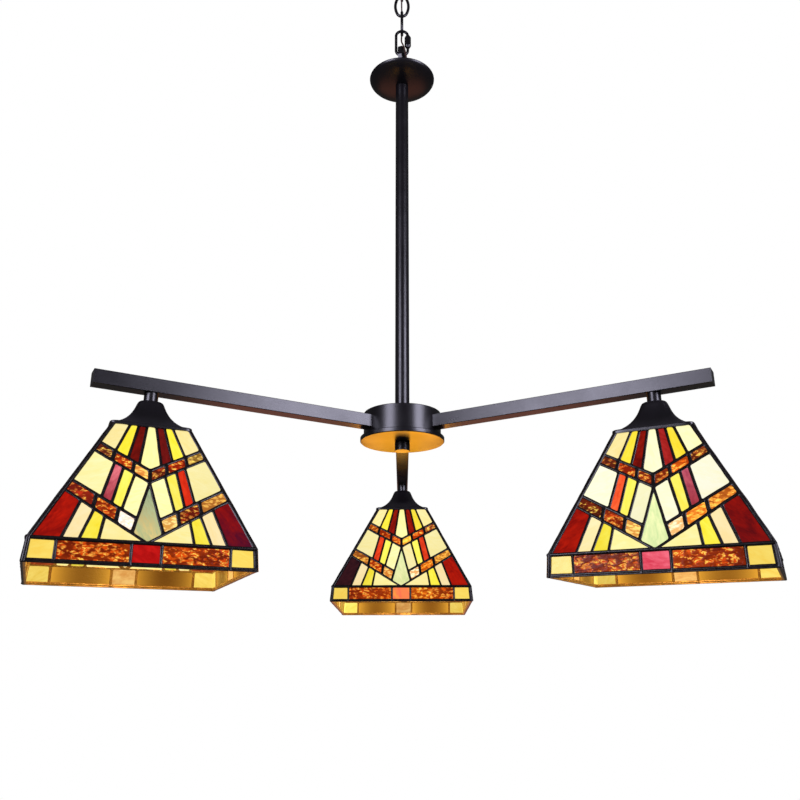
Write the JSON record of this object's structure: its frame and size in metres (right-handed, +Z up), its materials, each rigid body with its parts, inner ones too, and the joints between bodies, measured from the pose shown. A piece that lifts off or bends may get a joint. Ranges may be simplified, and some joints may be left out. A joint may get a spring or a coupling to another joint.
{
  "type": "pool table lamp",
  "caption": "Hanging lamp with radial arms on a rod and chain; each arm carries a square stained-glass shade with a bulb.",
  "frame": {"origin": "centre of the mounting strap's top face, on the ceiling plane", "axes": "+Z up out of the strap into the ceiling; -Y is the lamp's front, with one arm straight back along +Y and the other two coming forward to each side"},
  "size_m": [0.9205, 0.7939, 1.096],
  "materials": {
    "black_metal": "satin black enamel with a faint purple-grey sheen",
    "zinc_steel": "zinc-plated steel, hidden inside the fittings",
    "dark_solder": "black-patinated solder over copper foil",
    "opal_glass": "cream and yellow streaky opalescent sheet glass",
    "red_glass": "ruby red streaky sheet glass",
    "amber_glass": "hammered amber sheet glass",
    "bulb_glass": "frosted bulb glass",
    "bulb_cap": "rolled thread",
    "black_phenolic": "moulded phenolic",
    "cream_plastic": "moulded terminal block",
    "brass": "threaded shell",
    "brown_cord": "smooth brown sheath",
    "lead_insulation": "white insulated leads"
  },
  "bodies": {
    "ceiling_fitting": {"mounting_strap": "zinc_steel", "ceiling_canopy": "black_metal", "ceiling_eye": "black_metal", "canopy_collar": "black_metal", "strap_nut": "zinc_steel", "cord_gland": "black_phenolic", "ceiling_terminal": "cream_plastic"},
    "top_link": {"chain_link_top": "black_metal"},
    "middle_link": {"chain_link_middle": "black_metal"},
    "bottom_link": {"chain_link_bottom": "black_metal"},
    "quick_link": {"quick_link": "black_metal"},
    "quick_link_sleeve": {"quick_link_sleeve": "black_metal"},
    "lamp": {"hanger_eye": "black_metal", "top_cover": "black_metal", "top_nipple": "zinc_steel", "down_rod": "black_metal", "rod_bushings": "zinc_steel", "hub_can": "black_metal", "hub_lock_nut": "zinc_steel", "hub_nipple": "zinc_steel", "hub_spider": "zinc_steel", "arm_screws": "zinc_steel", "hub_terminal": "cream_plastic", "hub_bottom_cover": "black_metal", "arm_left": "black_metal", "arm_right": "black_metal", "arm_back": "black_metal", "arm_end_plugs": "black_metal", "stem_lock_nuts": "zinc_steel", "stem_nipples": "zinc_steel", "stems": "black_metal", "shade_nuts": "zinc_steel", "sockets": "black_phenolic", "socket_shells": "brass", "supply_cord": "brown_cord", "rod_cord": "brown_cord", "arm_leads": "lead_insulation"},
    "finial": {"finial": "black_metal"},
    "left_shade": {"shade_cap_left": "black_metal", "shade_lattice_left": "dark_solder", "opal_glass_left": "opal_glass", "red_glass_left": "red_glass", "amber_glass_left": "amber_glass"},
    "left_bulb": {"bulb_base_left": "bulb_cap", "bulb_glass_left": "bulb_glass"},
    "right_shade": {"shade_cap_right": "black_metal", "shade_lattice_right": "dark_solder", "opal_glass_right": "opal_glass", "red_glass_right": "red_glass", "amber_glass_right": "amber_glass"},
    "right_bulb": {"bulb_base_right": "bulb_cap", "bulb_glass_right": "bulb_glass"},
    "back_shade": {"shade_cap_back": "black_metal", "shade_lattice_back": "dark_solder", "opal_glass_back": "opal_glass", "red_glass_back": "red_glass", "amber_glass_back": "amber_glass"},
    "back_bulb": {"bulb_base_back": "bulb_cap", "bulb_glass_back": "bulb_glass"}
  },
  "joints": [
    {"name": "ceiling_eye_swing", "type": "hinge", "parent": "ceiling_fitting", "child": "top_link", "pos_m": [0, 0, -0.0516], "axis": [1, 0, 0], "range_deg": [-20, 20], "deforming": ["supply_cord"]},
    {"name": "top_link_swing", "type": "hinge", "parent": "top_link", "child": "middle_link", "pos_m": [0, 0, -0.0881], "axis": [0, 1, 0], "range_deg": [-20, 20], "deforming": ["supply_cord"]},
    {"name": "middle_link_swing", "type": "hinge", "parent": "middle_link", "child": "bottom_link", "pos_m": [0, 0, -0.1252], "axis": [1, 0, 0], "range_deg": [-20, 20], "deforming": ["supply_cord"]},
    {"name": "bottom_link_swing", "type": "hinge", "parent": "bottom_link", "child": "quick_link", "pos_m": [0, 0, -0.1623], "axis": [0, 1, 0], "range_deg": [-20, 20], "deforming": ["supply_cord"]},
    {"name": "hanger_swing", "type": "hinge", "parent": "quick_link", "child": "lamp", "pos_m": [0, 0, -0.2077], "axis": [1, 0, 0], "range_deg": [-20, 20], "deforming": ["supply_cord"]},
    {"name": "sleeve_screw", "type": "slide", "parent": "quick_link", "child": "quick_link_sleeve", "axis": [0, 0, 1], "range_m": [-0.0055, 0]},
    {"name": "finial_screw", "type": "slide", "parent": "lamp", "child": "finial", "axis": [0, 0, 1], "range_m": [-0.01, 0]},
    {"name": "left_shade_turn", "type": "hinge", "parent": "lamp", "child": "left_shade", "pos_m": [-0.30657, -0.177, -0.8825], "axis": [0, 0, 1], "continuous": true},
    {"name": "right_shade_turn", "type": "hinge", "parent": "lamp", "child": "right_shade", "pos_m": [0.30657, -0.177, -0.8825], "axis": [0, 0, 1], "continuous": true},
    {"name": "back_shade_turn", "type": "hinge", "parent": "lamp", "child": "back_shade", "pos_m": [0, 0.354, -0.8825], "axis": [0, 0, 1], "continuous": true},
    {"name": "left_bulb_screw", "type": "slide", "parent": "lamp", "child": "left_bulb", "axis": [0, 0, 1], "range_m": [-0.024, 0]},
    {"name": "right_bulb_screw", "type": "slide", "parent": "lamp", "child": "right_bulb", "axis": [0, 0, 1], "range_m": [-0.024, 0]},
    {"name": "back_bulb_screw", "type": "slide", "parent": "lamp", "child": "back_bulb", "axis": [0, 0, 1], "range_m": [-0.024, 0]}
  ]
}
